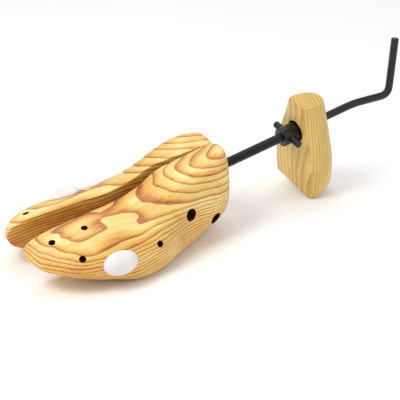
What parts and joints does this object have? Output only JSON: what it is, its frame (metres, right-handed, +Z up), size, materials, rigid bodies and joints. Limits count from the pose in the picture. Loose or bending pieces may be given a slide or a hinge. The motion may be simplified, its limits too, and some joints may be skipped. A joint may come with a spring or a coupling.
{
  "type": "two-way shoe stretcher",
  "caption": "Wooden foot form split into two hinged halves that a cranked threaded spindle spreads, with an adjustable heel block and press-in side plugs.",
  "frame": {"origin": "middle of the bounding box in plan, on the plane that the soles of the form rest on", "axes": "+X from the toe to the crank, +Z up, the near half on -Y"},
  "size_m": [0.3564, 0.1205, 0.1244],
  "materials": {
    "pine": "satin varnish",
    "pine_block": "satin varnish",
    "black_steel": "satin black",
    "zinc_steel": "plated",
    "white_plastic": "gloss"
  },
  "bodies": {
    "hinge_core": {"hinge_nut_block": "zinc_steel", "hinge_pin_upper": "zinc_steel", "hinge_pin_lower": "zinc_steel"},
    "near_form": {"near_half": "pine", "near_hinge_leaf": "zinc_steel", "near_leaf_bolt_1": "zinc_steel", "near_leaf_bolt_2": "zinc_steel", "near_anchor_bracket": "zinc_steel", "near_anchor_pin": "zinc_steel", "near_bracket_screw_1": "zinc_steel", "near_bracket_screw_2": "zinc_steel"},
    "far_form": {"far_half": "pine", "far_hinge_leaf": "zinc_steel", "far_leaf_bolt_1": "zinc_steel", "far_leaf_bolt_2": "zinc_steel", "far_anchor_bracket": "zinc_steel", "far_anchor_pin": "zinc_steel", "far_bracket_screw_1": "zinc_steel", "far_bracket_screw_2": "zinc_steel"},
    "spreader": {"crosshead": "zinc_steel", "link_stud_upper": "zinc_steel", "link_stud_lower": "zinc_steel"},
    "near_links": {"near_link_upper": "zinc_steel", "near_link_lower": "zinc_steel"},
    "far_links": {"far_link_upper": "zinc_steel", "far_link_lower": "zinc_steel"},
    "spindle": {"crank_spindle": "black_steel", "spindle_tip_collar": "zinc_steel"},
    "washer": {"thrust_washer": "black_steel"},
    "adjusting_nut": {"nut_hub": "black_steel", "nut_peg_near": "black_steel", "nut_peg_far": "black_steel"},
    "heel": {"heel_block": "pine_block"},
    "near_bunion_plug": {"near_plug": "white_plastic"},
    "far_bunion_plug": {"far_plug": "white_plastic"}
  },
  "joints": [
    {"name": "crosshead_slide", "type": "slide", "parent": "hinge_core", "child": "spreader", "axis": [0.9816, 0, 0.1908], "range_m": [-0.0015, 0.0028]},
    {"name": "crank_spin", "type": "hinge", "parent": "spreader", "child": "spindle", "pos_m": [0.0601, 0.0022, 0.0598], "axis": [0.9816, 0, 0.1908], "range_deg": [-270.5, 504.5]},
    {"name": "near_half_swing", "type": "hinge", "parent": "hinge_core", "child": "near_form", "pos_m": [-0.0096, 0.0022, 0.04625], "axis": [-0.1908, 0, 0.9816], "range_deg": [-3.45, 1.85]},
    {"name": "far_half_swing", "type": "hinge", "parent": "hinge_core", "child": "far_form", "pos_m": [-0.0096, 0.0022, 0.04625], "axis": [-0.1908, 0, 0.9816], "range_deg": [-1.85, 3.45]},
    {"name": "near_links_swing", "type": "hinge", "parent": "spreader", "child": "near_links", "pos_m": [-0.05962, 0.0022, 0.03653], "axis": [-0.1908, 0, 0.9816], "range_deg": [-11.8, 6.35]},
    {"name": "far_links_swing", "type": "hinge", "parent": "spreader", "child": "far_links", "pos_m": [-0.05962, 0.0022, 0.03653], "axis": [-0.1908, 0, 0.9816], "range_deg": [-6.35, 11.8]},
    {"name": "washer_slide", "type": "slide", "parent": "spreader", "child": "washer", "axis": [0.9816, 0, 0.1908], "range_m": [-0.04, 0.005]},
    {"name": "nut_spin", "type": "hinge", "parent": "washer", "child": "adjusting_nut", "pos_m": [0.06667, 0.0022, 0.06108], "axis": [0.9816, 0, 0.1908], "range_deg": [-7201, 901]},
    {"name": "heel_block_roll", "type": "hinge", "parent": "washer", "child": "heel", "pos_m": [0.08955, 0.0022, 0.06552], "axis": [0.9816, 0, 0.1908], "range_deg": [-180, 180]},
    {"name": "near_plug_pull", "type": "slide", "parent": "near_form", "child": "near_bunion_plug", "axis": [-0.0741, -0.9332, 0.3517], "range_m": [0, 0.012]},
    {"name": "far_plug_pull", "type": "slide", "parent": "far_form", "child": "far_bunion_plug", "axis": [-0.0789, 0.3383, 0.9377], "range_m": [0, 0.012]}
  ],
  "couplings": [
    {"joint": "crank_spin", "follows": "crosshead_slide", "rad_per_m": 3141.6},
    {"joint": "near_half_swing", "follows": "crosshead_slide", "rad_per_m": -21.425},
    {"joint": "far_half_swing", "follows": "crosshead_slide", "rad_per_m": 21.425},
    {"joint": "near_links_swing", "follows": "crosshead_slide", "rad_per_m": -73.444},
    {"joint": "far_links_swing", "follows": "crosshead_slide", "rad_per_m": 73.444},
    {"joint": "nut_spin", "follows": "washer_slide", "rad_per_m": 3141.6}
  ]
}
